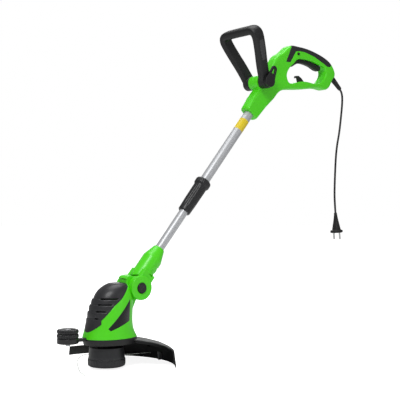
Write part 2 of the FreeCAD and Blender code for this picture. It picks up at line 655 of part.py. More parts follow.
def socket_room(angle):
    """The space the tube socket needs beside the neck when the head is tilted by an angle."""
    room = prism([(-19, 5), (19, 5), (18, 45), (-18, 45)], val("knuckle_half_width"))
    room = room.fuse(Part.makeCylinder(25, 90, Vector(0, 0, 10)))
    room = room.cut(cross_rod(val("knuckle_radius") + 0.8, 0, 0, -60, 60))
    place = Vector(val("knuckle_offset"), 0, val("knuckle_height"))
    room.Placement = Placement(place, Rotation(Vector(0, 1, 0), lean - angle))
    return room


def cover_margin():
    """A band beside the cover's rear edge that its slots leave whole."""
    edge = COVER_REGION[1:7]
    return edge + [(x - 8, z) for x, z in reversed(edge)]


def head_screw_points():
    return [(62, 84), (62, 132)]


def motor_seat(level):
    """A rib across the housing that carries the motor's stack."""
    rib = block((-90, -90, level), (120, 90, level + 2.5))
    return rib.cut(Part.makeCylinder(val("stator_radius") + val("fit_gap"), 10, Vector(0, 0, level - 2)))


def build_motor():
    low = "stator_bottom"
    high = "( stator_bottom + stator_length )"
    ring("stator", "stator_bore", "stator_radius", low, high, head_frame)
    coils = [
        Part.makeCylinder(23.5, 6, Vector(0, 0, z)).cut(Part.makeCylinder(19.5, 6, Vector(0, 0, z)))
        for z in (val("stator_bottom") - 6, val("stator_bottom") + val("stator_length"))
    ]
    shaped("field_coils", Part.makeCompound(coils), head_frame)
    turned("lower_end_cap", [
        ("5", "76"), ("28", "76"), ("28", low), ("26.6", low), ("26.6", "78"), ("12", "78"),
        ("12", "82"), ("bearing_radius + 0.05", "82"), ("bearing_radius + 0.05", "77.5"), ("5", "77.5"),
    ], head_frame)
    turned("upper_end_cap", [
        ("28", high), ("20", high + " + 20"), ("11.5", high + " + 20"), ("11.5", high + " + 27"),
        ("bearing_radius - 1.45", high + " + 27"), ("bearing_radius - 1.45", high + " + 18.3"),
        ("18.8", high + " + 18.3"), ("26.4", high),
    ], head_frame)
    ring("lower_bearing", "motor_shaft_radius + 0.02", "bearing_radius", "77.6", "77.6 + bearing_width - 1", head_frame)
    ring("upper_bearing", "motor_shaft_radius + 0.02", "bearing_radius - 1.5", high + " + 20", high + " + 26", head_frame)
    turned("motor_shaft", [
        ("0", "24"), ("motor_shaft_radius", "24"), ("motor_shaft_radius", high + " + 28"), ("0", high + " + 28"),
    ], head_frame)
    ring("armature", "motor_shaft_radius", "stator_bore - air_gap", low, high, head_frame)
    ring("commutator", "motor_shaft_radius", "9", high + " + 6", high + " + 16", head_frame)
    top = val("stator_bottom") + val("stator_length")
    brushes = [block((-3, side * 14.5 - 5.2, top + 7), (3, side * 14.5 + 5.2, top + 14)) for side in (-1, 1)]
    shaped("brushes", Part.makeCompound(brushes), head_frame)
    build_fan()


def build_fan():
    hub = Part.makeCylinder(8, 6, Vector(0, 0, 69)).fuse(Part.makeCylinder(val("fan_radius") - 2, 1.5, Vector(0, 0, 69)))
    blades = []
    for k in range(9):
        blade = block((7, -0.8, 70), (val("fan_radius") - 2, 0.8, 75))
        blade.rotate(Vector(), Vector(0, 0, 1), 40 * k)
        blades.append(blade)
    fan = fused([hub] + blades).cut(Part.makeCylinder(val("motor_shaft_radius"), 20, Vector(0, 0, 60)))
    shaped("cooling_fan", fan, head_frame)


def build_spool():
    height = val("spool_height")
    cap = val("cap_height")
    wall = val("spool_radius") - 1.5
    bore = val("motor_shaft_radius")
    drum = revolved([
        (bore, cap + 14), (8, cap + 14), (8, height - 2.5), (wall - 2.5 - val("spool_wall"), height - 2.5),
        (wall - val("spool_wall"), cap + 0.2), (wall, cap + 0.2), (wall - 2.5, height - 1),
        (wall - 3.5, height), (10, height), (10, 64), (bore, 64),
    ])
    for points in LINE_ENDS:
        drum = drum.cut(eyelet_rod(points, 3.05, 12))
    shaped("spool_housing", drum, head_frame)
    turned("spool_cap", [
        ("bump_radius + move_gap", "0"), ("spool_radius - 4", "0"), ("spool_radius - 1", "2"),
        ("spool_radius", "6"), ("spool_radius", "cap_height - 3"), ("spool_radius - 0.6", "cap_height"),
        ("spool_radius - spool_wall", "cap_height"), ("spool_radius - spool_wall", "5"),
        ("spool_radius - 5", "2.2"), ("bump_radius + move_gap", "2.2"),
    ], head_frame)
    turned("line_spool", [
        ("20", "2.4"), ("36", "2.4"), ("36", "4.2"), ("22", "4.2"), ("22", "26"), ("36", "26"),
        ("36", "27.8"), ("9", "27.8"), ("9", "24"), ("20", "24"),
    ], head_frame)
    ring("line_winding", "22.1", "33", "4.3", "25.9", head_frame)
    turned("bump_button", [
        ("0", "0 - bump_drop"), ("bump_radius - 3", "0 - bump_drop"), ("bump_radius", "3 - bump_drop"),
        ("bump_radius", "2.5"), ("bump_radius + 2.5", "2.5"), ("bump_radius + 2.5", "4.2"), ("0", "4.2"),
    ], head_frame)
    ring("bump_spring", "10", "12", "4.3", "23.9", head_frame)
    build_lines()


def eyelet_rod(points, radius, length):
    """A round bar along a line end's way out of the drum."""
    outward = Vector(points[0][0], points[0][1], 0).normalize()
    middle = outward * (val("spool_radius") - 2.6) + Vector(0, 0, points[0][2])
    return Part.makeCylinder(radius, length, middle - outward * (length / 2), outward)


def build_lines():
    ends = []
    eyelets = []
    for points in LINE_ENDS:
        curve = Part.BSplineCurve()
        curve.interpolate([Vector(*point) for point in points])
        heading = curve.tangent(curve.FirstParameter)[0]
        section = Part.Wire(Part.Circle(Vector(*points[0]), heading, val("line_radius")).toShape())
        ends.append(Part.Wire(curve.toShape()).makePipeShell([section], True, True))
        eyelets.append(eyelet_rod(points, 3, 4.8).cut(eyelet_rod(points, 1.4, 12)))
    shaped("cutting_lines", Part.makeCompound(ends), head_frame)
    shaped("line_eyelets", Part.makeCompound(eyelets), head_frame)


# ---------------------------------------------------------------- guard and wheel

def swept_profile(points, start, sweep):
    """A closed profile in local XZ turned about Z from a start angle."""
    corners = [Vector(r, 0, h) for r, h in points]
    solid = Part.Face(Part.makePolygon(corners + corners[:1])).revolve(Vector(), Vector(0, 0, 1), sweep)
    solid.rotate(Vector(), Vector(0, 0, 1), start)
    return solid


def build_guard():
    radius = val("guard_radius")
    thick = val("guard_thick")
    top = val("guard_top")
    bottom = val("guard_bottom")
    start = val("guard_start")
    sweep = val("guard_plate_turn")
    flare = val("guard_flare")
    foot = radius + flare
    shoulder = radius - thick - 1
    outline = GUARD_PROFILE + [(radius, top), (foot, bottom), (foot - thick, bottom), (shoulder, top - 1)]
    outline += [(r, z - thick) for r, z in reversed(GUARD_PROFILE)]
    plate = swept_profile(outline, start, sweep)
    high = val("arm_top")
    low = val("arm_bottom")
    slope = flare / (top - bottom)
    reach_high = radius + slope * (top - high)
    reach_low = radius + slope * (top - low)
    arm = swept_profile([(reach_low - thick, low), (reach_low, low), (reach_high, high), (reach_high - thick, high)],
                        start + sweep, val("guard_arm_turn"))
    collar = collar_solid()
    ribs = []
    for angle in (start + 25, start + 55, start + 85):
        rib = prism([(57, 59), (84, 56), (112, 51.5), (134, 45), (149, 37.5), (154, 31), (154, 24), (120, 38), (60, 50)], 1)
        rib.rotate(Vector(), Vector(0, 0, 1), angle)
        ribs.append(rib)
    guard = fused([plate, arm, collar] + ribs)
    hollow = Part.makeLoft([collar_wire(z, 3.5) for z in (30, val("base_height") - 2.5)], True, True)
    guard = guard.cut(hollow)
    guard = guard.cut(Part.makeCylinder(14, 40, Vector(0, 0, 40)))
    guard = guard.cut(collar_top_cut())
    for x, y in guard_screw_points():
        guard = guard.cut(Part.makeCylinder(1.8, 20, Vector(x, y, 55)))
    shaped("guard", biggest(guard), head_frame)
    screws = [screw(x, z, -10, 30.1, 33) for x, z in head_screw_points()]
    for x, y in guard_screw_points():
        shank = Part.makeCylinder(1.7, 6, Vector(x, y, 61))
        screws.append(shank.fuse(Part.makeCylinder(3.5, 2.2, Vector(x, y, 61.2))))
    shaped("head_screws", Part.makeCompound(screws), head_frame)
    build_cutter()


def collar_wire(level, shrink):
    return ellipse_wire(level, val("base_centre"), val("base_half_length") - shrink, val("base_half_width") - shrink)


def collar_solid():
    low = val("base_height") - val("collar_height")
    return Part.makeLoft([collar_wire(low, 3), collar_wire(val("base_height") - 4, 0.6),
                          collar_wire(val("base_height"), 0.3)], True, True)


def collar_top_cut():
    return block((-200, -200, val("base_height")), (300, 300, 120))


def guard_screw_points():
    return [(50, 22), (50, -22), (-38, 16), (-38, -16)]


def skirt_inside(height):
    """The flared skirt's inner radius at a height above the head's base."""
    lip = val("guard_top") - 1
    slope = (val("guard_flare") + 1) / (lip - val("guard_bottom"))
    return val("guard_radius") - val("guard_thick") - 1 + slope * (lip - height)


def build_cutter():
    """The steel blade that trims the line, on the skirt's near end."""
    low = -3
    high = 14
    seat = Vector(0, 0, low)
    reach_low = skirt_inside(low) - 0.1
    reach_high = skirt_inside(high) - 0.1
    bowl = Part.makeCone(reach_low, reach_high, high - low, seat)
    core = Part.makeCone(reach_low - 1.5, reach_high - 1.5, high - low, seat)
    blade = block((reach_high - 9, -1, low), (reach_low, 1, high)).common(bowl)
    flange = block((reach_high - 4, -1, low), (reach_low, 14, high)).common(bowl).cut(core)
    cutter = blade.fuse(flange)
    cutter.rotate(Vector(), Vector(0, 0, 1), val("guard_start") + 1)
    shaped("line_cutter", cutter, head_frame)


def build_wheel():
    wheel_x = -val("wheel_forward")
    low = val("wheel_bottom")
    wheel_frame = head_frame.multiply(frame_at((wheel_x, 0, 0), 0))
    turned("guide_wheel", [
        ("axle_radius + 0.05", "wheel_bottom"), ("wheel_radius - 1.5", "wheel_bottom"), ("wheel_radius", "wheel_bottom + 2"),
        ("wheel_radius - 1.5", "wheel_bottom + wheel_width / 2"), ("wheel_radius", "wheel_bottom + wheel_width - 3"),
        ("wheel_radius - 2", "wheel_bottom + wheel_width"), ("14", "wheel_bottom + wheel_width"),
        ("13", "wheel_bottom + wheel_width - 2"), ("axle_radius + 0.05", "wheel_bottom + wheel_width - 2"),
    ], wheel_frame)
    turned("wheel_axle", [
        ("0", "wheel_bottom - carrier_height - 6"), ("5", "wheel_bottom - carrier_height - 6"),
        ("5", "wheel_bottom - carrier_height - 0.2"), ("axle_radius", "wheel_bottom - carrier_height - 0.2"),
        ("axle_radius", "wheel_bottom + wheel_width - 1.7"), ("7", "wheel_bottom + wheel_width - 1.7"),
        ("7", "wheel_bottom + wheel_width"), ("0", "wheel_bottom + wheel_width"),
    ], wheel_frame)
    carrier_low = low - val("carrier_height")
    plate = Part.makeCylinder(val("carrier_radius"), val("carrier_height") - 0.4, Vector(wheel_x, 0, carrier_low))
    plate = plate.makeFillet(1.5, [edge for edge in plate.Edges if edge.Length > 100])
    arm = block((wheel_x + 10, -7, carrier_low + 1.5), (-50, 7, carrier_low + 9))
    carrier = plate.fuse(arm)
    collar = collar_solid()
    carrier = carrier.cut(collar).cut(housing_solid(0))
    carrier = carrier.cut(Part.makeCylinder(val("axle_radius") + 0.05, 60, Vector(wheel_x, 0, 40)))
    shaped("wheel_carrier", biggest(carrier), head_frame)


build_handle()
build_handle_inside()
build_cord()
build_plug()
build_bow()
build_bow_fittings()
build_shaft()
build_socket()
build_head()
build_motor()
build_spool()
build_guard()
build_wheel()

doc.recompute()
for item in doc.Objects:
    if "Invalid" in item.State or "Error" in item.State:
        raise RuntimeError("%s failed to build" % item.Name)
broken = [item.Label for item in subparts if item.Shape.isNull() or not item.Shape.isValid()]
if broken:
    raise RuntimeError("no valid shape: %s" % ", ".join(broken))

os.makedirs("parts", exist_ok=True)
for item in subparts:
    item.Shape.exportStep("parts/%s.step" % item.Label)
print("%d nodes written" % len(subparts))
for name, spot in (("knuckle", knuckle), ("head base", head_base), ("nose", nose), ("bow pivot", bow_pivot)):
    print(name, [round(number, 2) for number in spot])
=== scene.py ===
import json
import math
import bpy
import bmesh
from mathutils import Matrix, Vector


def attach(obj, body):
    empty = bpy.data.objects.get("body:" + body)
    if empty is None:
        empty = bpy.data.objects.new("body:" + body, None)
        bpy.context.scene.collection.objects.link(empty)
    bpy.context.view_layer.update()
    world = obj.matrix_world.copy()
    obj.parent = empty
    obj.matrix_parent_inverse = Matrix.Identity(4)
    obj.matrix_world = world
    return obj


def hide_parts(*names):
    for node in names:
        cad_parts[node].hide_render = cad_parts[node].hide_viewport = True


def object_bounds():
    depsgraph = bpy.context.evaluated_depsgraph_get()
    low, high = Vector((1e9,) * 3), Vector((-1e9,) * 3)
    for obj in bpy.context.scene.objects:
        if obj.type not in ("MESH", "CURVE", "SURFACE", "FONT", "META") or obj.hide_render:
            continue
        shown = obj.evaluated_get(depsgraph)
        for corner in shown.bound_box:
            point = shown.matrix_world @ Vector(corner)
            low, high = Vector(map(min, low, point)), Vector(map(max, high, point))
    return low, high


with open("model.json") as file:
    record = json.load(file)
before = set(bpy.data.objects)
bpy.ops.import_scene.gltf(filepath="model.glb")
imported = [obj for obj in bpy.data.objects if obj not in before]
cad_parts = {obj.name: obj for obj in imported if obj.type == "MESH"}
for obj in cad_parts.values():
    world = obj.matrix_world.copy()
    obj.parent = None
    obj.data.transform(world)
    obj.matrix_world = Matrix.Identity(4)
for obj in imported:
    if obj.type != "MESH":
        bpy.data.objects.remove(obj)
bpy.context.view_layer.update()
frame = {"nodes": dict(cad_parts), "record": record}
nodes = frame["nodes"]

MM = 0.001

# Local frames of the design, in metres: rear handle, shaft, head and front handle.
LEAN = math.radians(40)
BOW_TILT = math.radians(-27)
PLUG_TILT = math.radians(175.2)
RELIEF_SEAT = Vector((298, 0, -152)) * MM
NOSE = Vector((-0.22478, 0, -0.17298))
KNUCKLE = Vector((-0.58924, 0, -0.60733))
HEAD = Vector((-0.66524, 0, -0.78533))
BOW = Vector((-0.19248, 0, -0.08782))
WHEEL = HEAD + Vector((-0.103, 0, 0))
PLUG = Vector((0.108, 0, -0.434))
HANDLE_FRAME = Matrix.Translation(NOSE) @ Matrix.Rotation(LEAN - math.pi / 2, 4, "Y")
SHAFT_FRAME = Matrix.Translation(KNUCKLE) @ Matrix.Rotation(LEAN, 4, "Y")
HEAD_FRAME = Matrix.Translation(HEAD)
BOW_FRAME = Matrix.Translation(BOW) @ Matrix.Rotation(BOW_TILT, 4, "Y")
WHEEL_FRAME = Matrix.Translation(WHEEL)
RELIEF_FRAME = HANDLE_FRAME @ Matrix.Translation(RELIEF_SEAT) @ Matrix.Rotation(math.pi, 4, "Y")
PLUG_FRAME = Matrix.Translation(PLUG) @ Matrix.Rotation(PLUG_TILT, 4, "Y")

# ---------------------------------------------------------------- camera, light and white surround

scene = bpy.context.scene
scene.view_settings.view_transform = "Standard"
camera_data = bpy.data.cameras.new("camera")
camera_data.lens = 77.65
camera_data.sensor_width = 36
camera_data.shift_x = 0.0478
camera_data.shift_y = 0.0143
camera_data.clip_end = 60
camera = bpy.data.objects.new("camera", camera_data)
camera.location = (-1.7406, -1.7025, -0.4139)
camera.rotation_euler = (math.radians(90), 0, math.radians(-37.2))
scene.collection.objects.link(camera)
scene.camera = camera


def area_light(name, place, target, size, power):
    data = bpy.data.lights.new(name, "AREA")
    data.size = size
    data.energy = power
    lamp = bpy.data.objects.new(name, data)
    lamp.location = place
    lamp.rotation_euler = (Vector(target) - Vector(place)).to_track_quat("-Z", "Y").to_euler()
    scene.collection.objects.link(lamp)


area_light("key", (-1.9, -1.3, 1.6), (-0.3, 0, -0.35), 0.9, 36)
area_light("fill", (0.6, -2.4, 0.4), (-0.3, 0, -0.4), 1.4, 4)
area_light("top", (-0.2, 0.3, 1.8), (-0.3, 0, -0.4), 1.4, 22)
area_light("back", (1.2, 2.0, 0.6), (-0.3, 0, -0.4), 1.4, 12)

# A white surround that looks brighter to the camera than it lights the part.
world = bpy.data.worlds.new("studio")
world.use_nodes = True
sky = world.node_tree
seen = sky.nodes["Background"]
seen.inputs["Color"].default_value = (1, 1, 1, 1)
seen.inputs["Strength"].default_value = 1.0
cast = sky.nodes.new("ShaderNodeBackground")
cast.inputs["Color"].default_value = (1, 1, 1, 1)
cast.inputs["Strength"].default_value = 0.26
ray = sky.nodes.new("ShaderNodeLightPath")
share = sky.nodes.new("ShaderNodeMixShader")
sky.links.new(ray.outputs["Is Camera Ray"], share.inputs[0])
sky.links.new(cast.outputs[0], share.inputs[1])
sky.links.new(seen.outputs[0], share.inputs[2])
sky.links.new(share.outputs[0], sky.nodes["World Output"].inputs["Surface"])
scene.world = world


# ---------------------------------------------------------------- materials

def noise_node(tree, size, detail=3.0, stretch=(1, 1, 1)):
    """Noise in the object's own space; size is its grain in metres."""
    where = tree.nodes.new("ShaderNodeTexCoord")
    mapping = tree.nodes.new("ShaderNodeMapping")
    mapping.inputs["Scale"].default_value = stretch
    noise = tree.nodes.new("ShaderNodeTexNoise")
    noise.inputs["Scale"].default_value = 1 / size
    noise.inputs["Detail"].default_value = detail
    tree.links.new(where.outputs["Object"], mapping.inputs["Vector"])
    tree.links.new(mapping.outputs["Vector"], noise.inputs["Vector"])
    return noise


def surface(name, colour, rough, metallic=0.0, coat=0.0, grain=0.0004, depth=0.15, mottle=0.08,
            mottle_size=0.02, rough_swing=0.08, edge_highlight=0.0, stretch=(1, 1, 1), clear=0.0):
    """A procedural finish: mottled colour, fine grain, uneven gloss and a painted highlight that makes sharp
    edges paler.
    """
    material = bpy.data.materials.new(name)
    material.use_nodes = True
    tree = material.node_tree
    shader = tree.nodes["Principled BSDF"]
    shader.inputs["Metallic"].default_value = metallic
    shader.inputs["Coat Weight"].default_value = coat
    shader.inputs["Coat Roughness"].default_value = 0.12
    shader.inputs["Transmission Weight"].default_value = clear
    broad = noise_node(tree, mottle_size)
    tint = tree.nodes.new("ShaderNodeMix")
    tint.data_type = "RGBA"
    tint.inputs[6].default_value = (*[c * (1 - mottle) for c in colour], 1)
    tint.inputs[7].default_value = (*[min(1, c * (1 + mottle)) for c in colour], 1)
    tree.links.new(broad.outputs["Fac"], tint.inputs[0])
    colour_out = tint.outputs[2]
    # Painted highlight: sharp convex edges are painted paler, as if catching the light.
    if edge_highlight > 0:
        geometry = tree.nodes.new("ShaderNodeNewGeometry")
        ramp = tree.nodes.new("ShaderNodeMapRange")
        ramp.inputs["From Min"].default_value = 0.52
        ramp.inputs["From Max"].default_value = 0.62
        ramp.inputs["To Max"].default_value = edge_highlight
        tree.links.new(geometry.outputs["Pointiness"], ramp.inputs["Value"])
        edge_highlight_mix = tree.nodes.new("ShaderNodeMix")
        edge_highlight_mix.data_type = "RGBA"
        edge_highlight_mix.inputs[7].default_value = (*[min(1, c * 1.5 + 0.05) for c in colour], 1)
        tree.links.new(ramp.outputs["Result"], edge_highlight_mix.inputs[0])
        tree.links.new(colour_out, edge_highlight_mix.inputs[6])
        colour_out = edge_highlight_mix.outputs[2]
    tree.links.new(colour_out, shader.inputs["Base Color"])
    swing = tree.nodes.new("ShaderNodeMapRange")
    swing.inputs["To Min"].default_value = max(0.02, rough - rough_swing)
    swing.inputs["To Max"].default_value = min(1.0, rough + rough_swing)
    tree.links.new(noise_node(tree, mottle_size * 0.4).outputs["Fac"], swing.inputs["Value"])
    tree.links.new(swing.outputs["Result"], shader.inputs["Roughness"])
    bump = tree.nodes.new("ShaderNodeBump")
    bump.inputs["Strength"].default_value = depth
    bump.inputs["Distance"].default_value = grain * 0.5
    fine = noise_node(tree, grain, 2.0, stretch)
    tree.links.new(fine.outputs["Fac"], bump.inputs["Height"])
    tree.links.new(bump.outputs["Normal"], shader.inputs["Normal"])
    return material


GREEN = surface("green_moulding", (0.092, 0.80, 0.008), 0.36, coat=0.10, grain=0.0012, depth=0.015,
                mottle=0.04,
                mottle_size=0.05, rough_swing=0.04)
SOFT = surface("soft_overmould", (0.016, 0.017, 0.018), 0.52, grain=0.0005, depth=0.35, edge_highlight=0.25)
BLACK = surface("black_moulding", (0.007, 0.0073, 0.0078), 0.48, grain=0.0004, depth=0.22, edge_highlight=0.35)
SHAFT_BLACK = surface("shaft_moulding", (0.014, 0.0145, 0.016), 0.36, grain=0.0004, depth=0.15, edge_highlight=0.35)
COVER = surface("cover_moulding", (0.026, 0.026, 0.029), 0.36, grain=0.0005, depth=0.2, edge_highlight=0.4)
BADGE = surface("inlay", (0.008, 0.009, 0.010), 0.18, coat=0.4, grain=0.0008, depth=0.1, edge_highlight=0.2)
SPOOL = surface("spool_moulding", (0.018, 0.0185, 0.021), 0.38, grain=0.0004, depth=0.18, edge_highlight=0.35)
WHEEL_BLACK = surface("wheel_moulding", (0.013, 0.0135, 0.015), 0.34, grain=0.0004, depth=0.2, edge_highlight=0.4)
ALLOY = surface("anodised_tube", (0.58, 0.59, 0.61), 0.45, metallic=0.5, grain=0.0015, depth=0.006,
                mottle=0.02,
                rough_swing=0.03)
STEEL = surface("zinc_steel", (0.56, 0.57, 0.59), 0.32, metallic=1.0, grain=0.0003, depth=0.15, mottle=0.08)
SPRING = surface("spring_wire", (0.42, 0.43, 0.45), 0.35, metallic=1.0, grain=0.0002, depth=0.1)
INNER = surface("inner_moulding", (0.10, 0.10, 0.11), 0.5, grain=0.0004, depth=0.2)
STACK = surface("laminations", (0.16, 0.16, 0.165), 0.5, metallic=0.8, grain=0.0005, depth=0.6,
                stretch=(0.05, 0.05, 1))
COPPER = surface("copper_winding", (0.55, 0.20, 0.07), 0.35, metallic=1.0, grain=0.0006, depth=0.5,
                 stretch=(0.2, 0.2, 1))
CARBON = surface("carbon", (0.02, 0.02, 0.02), 0.6, grain=0.0003, depth=0.3)
SHEATH = surface("cord_sheath", (0.012, 0.012, 0.013), 0.42, grain=0.0005, depth=0.12, rough_swing=0.06)
PIN = surface("nickel_pin", (0.66, 0.66, 0.67), 0.18, metallic=1.0, grain=0.0003, depth=0.06)
NYLON = surface("nylon_line", (0.72, 0.78, 0.72), 0.28, grain=0.0004, depth=0.08, clear=0.35)
LABEL = surface("label_film", (0.86, 0.66, 0.015), 0.35, coat=0.3, grain=0.0006, depth=0.05, mottle=0.04)
PAD = surface("ribbed_pad", (0.050, 0.051, 0.053), 0.55, grain=0.0004, depth=0.3, edge_highlight=0.3)

finish_of = {
    "green_plastic": GREEN, "soft_black": SOFT, "black_plastic": BLACK, "shaft_plastic": SHAFT_BLACK,
    "cover_plastic": COVER, "badge_plastic": BADGE, "wheel_plastic": WHEEL_BLACK, "spool_plastic": SPOOL,
    "tube_metal": ALLOY, "steel": STEEL, "spring_steel": SPRING, "inner_plastic": INNER, "laminations": STACK,
    "copper": COPPER, "carbon": CARBON, "cord_rubber": SHEATH, "pin_metal": PIN, "line_nylon": NYLON,
    "label_yellow": LABEL,
}



slot_of = {entry["node"]: entry["material_slot"] for entry in frame["record"]["subparts"]}
for name, node in nodes.items():
    node.data.materials.clear()
    node.data.materials.append(finish_of[slot_of[name]])
    for polygon in node.data.polygons:
        polygon.material_index = 0


# ---------------------------------------------------------------- helpers

def new_piece(name, mesh, body, material, *replaced, slot=None):
    """A finished mesh in the row frame that rides on a body and stands for CAD nodes."""
    piece = bpy.data.objects.new(name, mesh)
    scene.collection.objects.link(piece)
    mesh.materials.clear()
    mesh.materials.append(material)
    for polygon in mesh.polygons:
        polygon.use_smooth = True
    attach(piece, body)
    if replaced:
        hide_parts(*replaced)
    return piece


def grid_mesh(name, rings, place, closed=True, caps=True):
    """A tube-like mesh through rings of points given in millimetres in a local frame."""
    work = bmesh.new()
    rows = [[work.verts.new(place @ (Vector(point) * MM)) for point in ring] for ring in rings]
    count = len(rows[0])
    pairs = list(zip(rows, rows[1:]))
    if not closed:
        pairs.append((rows[-1], rows[0]))
    for low, high in pairs:
        for i in range(count):
            j = (i + 1) % count
            work.faces.new((low[i], low[j], high[j], high[i]))
    if caps and closed:
        work.faces.new(list(reversed(rows[0])))
        work.faces.new(rows[-1])
    bmesh.ops.recalc_face_normals(work, faces=work.faces)
    mesh = bpy.data.meshes.new(name)
    work.to_mesh(mesh)
    work.free()
    return mesh


def rounded_profile(points, radius, steps=3):
    """The profile's corners rounded off; points are (r, z)."""
    out = [Vector(points[0])]
    for before, corner, after in zip(points, points[1:], points[2:]):
        corner = Vector(corner)
        into = Vector(before) - corner
        away = Vector(after) - corner
        reach = min(radius, 0.45 * into.length, 0.45 * away.length)
        start = corner + into.normalized() * reach
        end = corner + away.normalized() * reach
        for k in range(steps + 1):
            t = k / steps
            out.append(start * (1 - t) ** 2 + corner * 2 * t * (1 - t) + end * t * t)
    out.append(Vector(points[-1]))
    return out


def lathe(name, points, place, count=96, radius=0.6, wobble=None, ring=False):
    """A turned shape with rounded corners; wobble(r, z, angle) gives the radius at each point."""
    outline = list(points) + [points[0]] if ring else points
    profile = rounded_profile(outline, radius)
    if ring:
        profile = profile[:-1]
    rings = []
    for r, z in profile:
        row = []
        for i in range(count):
            angle = math.tau * i / count
            reach = wobble(r, z, angle) if wobble else r
            row.append((reach * math.cos(angle), reach * math.sin(angle), z))
        rings.append(row)
    return grid_mesh(name, rings, place, closed=not ring, caps=not ring)


def remeshed(name, sources, voxel, smooth=6, keep=1.0):
    """A copy of meshes in one skin with softly rounded edges."""
    work = bmesh.new()
    for source in sources:
        work.from_mesh(source)
    mesh = bpy.data.meshes.new(name + "_rough")
    work.to_mesh(mesh)
    work.free()
    rough = bpy.data.objects.new(name + "_rough", mesh)
    scene.collection.objects.link(rough)
    remesh = rough.modifiers.new("remesh", "REMESH")
    remesh.mode = "VOXEL"
    remesh.voxel_size = voxel * MM
    remesh.adaptivity = 0
    even = rough.modifiers.new("even", "SMOOTH")
    even.factor = 0.5
    even.iterations = smooth
    if keep < 1:
        lighter = rough.modifiers.new("lighter", "DECIMATE")
        lighter.ratio = keep
    result = bpy.data.meshes.new_from_object(rough.evaluated_get(bpy.context.evaluated_depsgraph_get()))
    result.name = name
    bpy.data.objects.remove(rough)
    return result


def soften(node, body, voxel=0.8, smooth=6, keep=0.5, material=None):
    mesh = remeshed(node + "_skin", [nodes[node].data], voxel, smooth, keep)
    return new_piece(node + "_skin", mesh, body, material or finish_of[slot_of[node]], node)


# ---------------------------------------------------------------- mains cord

CORD_ROUTE = [
    (0.1215, -0.0746), (0.1315, -0.083), (0.1365, -0.097), (0.1365, -0.117), (0.1335, -0.142),
    (0.129, -0.173),
    (0.1235, -0.206), (0.1145, -0.240), (0.1095, -0.275), (0.107, -0.312), (0.105, -0.349), (0.104, -0.384),
    (0.1058, -0.411), (0.108, -0.434),
]
CORD_DIAMETER = 0.0056

curve = bpy.data.curves.new("lead", "CURVE")
curve.dimensions = "3D"
curve.resolution_u = 16
curve.bevel_depth = CORD_DIAMETER / 2
curve.bevel_resolution = 6
curve.use_fill_caps = True
line = curve.splines.new("NURBS")
line.points.add(len(CORD_ROUTE) - 1)
for spot, (x, z) in zip(line.points, CORD_ROUTE):
    spot.co = (x, 0, z, 1)
line.order_u = 3
line.use_endpoint_u = True
curve.materials.append(SHEATH)
lead = bpy.data.objects.new("lead", curve)
scene.collection.objects.link(lead)
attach(lead, "handle")
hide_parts("mains_cord")


# ---------------------------------------------------------------- rear handle

for half in ("handle_housing_left", "handle_housing_right"):
    soften(half, "handle", 0.8, 14, 0.5)
soften("soft_grip", "handle", 0.6, 3, 0.5)
soften("trigger", "trigger", 0.6, 6, 0.6)
soften("cord_hook", "handle", 0.5, 5, 0.8)


relief_points = [(2.9, 0.2), (7.9, 0.2), (7.9, 2.8), (6.9, 3.2), (6.9, 6.8), (8.1, 7.2), (7.9, 9)]
for step in range(12):
    low = 10 + 3.8 * step
    wide = 7.8 - (low - 10) * 0.05
    relief_points += [(wide, low), (wide, low + 2.1), (wide - 1.2, low + 2.4), (wide - 1.2, low + 3.3)]
relief_points += [(5.3, 56), (4.6, 57), (2.9, 57)]
relief = new_piece("relief", lathe("relief", relief_points, RELIEF_FRAME, 64, 0.3, ring=True), "handle",
                   BLACK,
                   "strain_relief")


def plug_wobble(r, z, angle):
    """Two flattened grip sides with cross ribs."""
    if 6 < z < 46:
        flat = 1 - 0.16 * math.cos(angle) ** 6
        ribs = 0.5 * math.cos(z * math.tau / 4.0) * math.cos(angle) ** 4 if 14 < z < 42 else 0
        return r * flat - abs(ribs)
    return r


plug_profile = [(0.01, 0), (3.9, 0)]
plug_profile += [(4.2 + 7.8 * (k / 22) ** 1.3, 1 + 2 * k) for k in range(1, 23)]
plug_profile += [(12.3, 48.6), (17.2, 50.4), (17.6, 51.2), (17.6, 56.2), (16.9, 57), (0.01, 57)]
plug = new_piece("plug", lathe("plug", plug_profile, PLUG_FRAME, 72, 0.5, plug_wobble), "handle", BLACK,
                 "plug_body")


# ---------------------------------------------------------------- front handle

def smooth_path(points, per):
    """Points along a smooth curve through the given ones."""
    out = []
    ends = [points[0]] + list(points) + [points[-1]]
    for a, b, c, d in zip(ends, ends[1:], ends[2:], ends[3:]):
        a, b, c, d = Vector(a), Vector(b), Vector(c), Vector(d)
        for k in range(per):
            t = k / per
            out.append(0.5 * (2 * b + (c - a) * t + (2 * a - 5 * b + 4 * c - d) * t ** 2
                              + (3 * b - a - 3 * c + d) * t ** 3))
    out.append(Vector(points[-1]))
    return out


HALF_LOOP = [(30, 0), (32.5, 14), (37, 34), (43.5, 57), (51, 80), (58, 104), (61.5, 120), (61, 131),
             (55, 138.5),
             (45, 140.8), (28, 141)]


